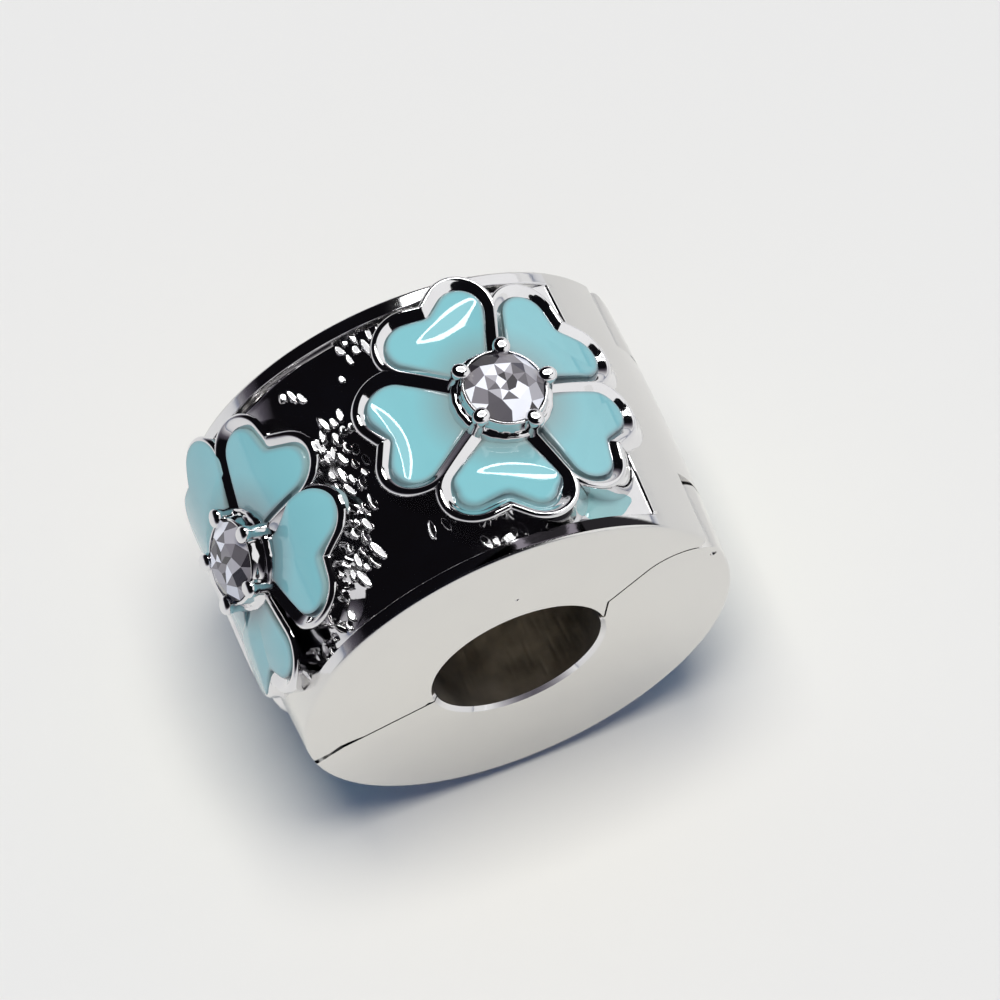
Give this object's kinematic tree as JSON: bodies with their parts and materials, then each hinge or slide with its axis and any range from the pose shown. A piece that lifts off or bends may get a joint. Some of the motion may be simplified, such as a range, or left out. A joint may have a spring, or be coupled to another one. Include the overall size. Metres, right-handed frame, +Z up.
{
  "type": "flower clip charm",
  "caption": "Hinged barrel clip bead with raised heart-petal enamel flowers, clear stones in claw settings, and a bore for a bracelet.",
  "frame": {"origin": "centre of the bore at the middle of its length", "axes": "+Y along the bore, from the front face to the back face; +Z up as the charm lies by itself; the hinge is on the +X side and the clasp seam on the -X side"},
  "size_m": [0.0122, 0.0076, 0.0127],
  "materials": {
    "plated_metal": "polished silver-coloured plating with a lightly pebbled cast ground",
    "pin_steel": "drawn steel",
    "enamel": "glossy turquoise enamel, softly domed",
    "crystal": "clear, cut facets"
  },
  "bodies": {
    "lower": {"lower_shell": "plated_metal", "hinge_pin": "pin_steel", "petal_3_1": "enamel", "petal_3_2": "enamel", "petal_3_3": "enamel", "petal_3_4": "enamel", "petal_3_5": "enamel", "petal_4_1": "enamel", "petal_4_2": "enamel", "petal_4_3": "enamel", "petal_4_4": "enamel", "petal_4_5": "enamel", "stone_3": "crystal", "stone_4": "crystal"},
    "upper": {"upper_shell": "plated_metal", "petal_1_1": "enamel", "petal_1_2": "enamel", "petal_1_3": "enamel", "petal_1_4": "enamel", "petal_1_5": "enamel", "petal_2_1": "enamel", "petal_2_2": "enamel", "petal_2_3": "enamel", "petal_2_4": "enamel", "petal_2_5": "enamel", "stone_1": "crystal", "stone_2": "crystal"}
  },
  "joints": [
    {"name": "hinge", "type": "hinge", "parent": "lower", "child": "upper", "pos_m": [0.00429, 0, 0.00097], "axis": [0, 1, 0], "range_deg": [0, 70]}
  ]
}
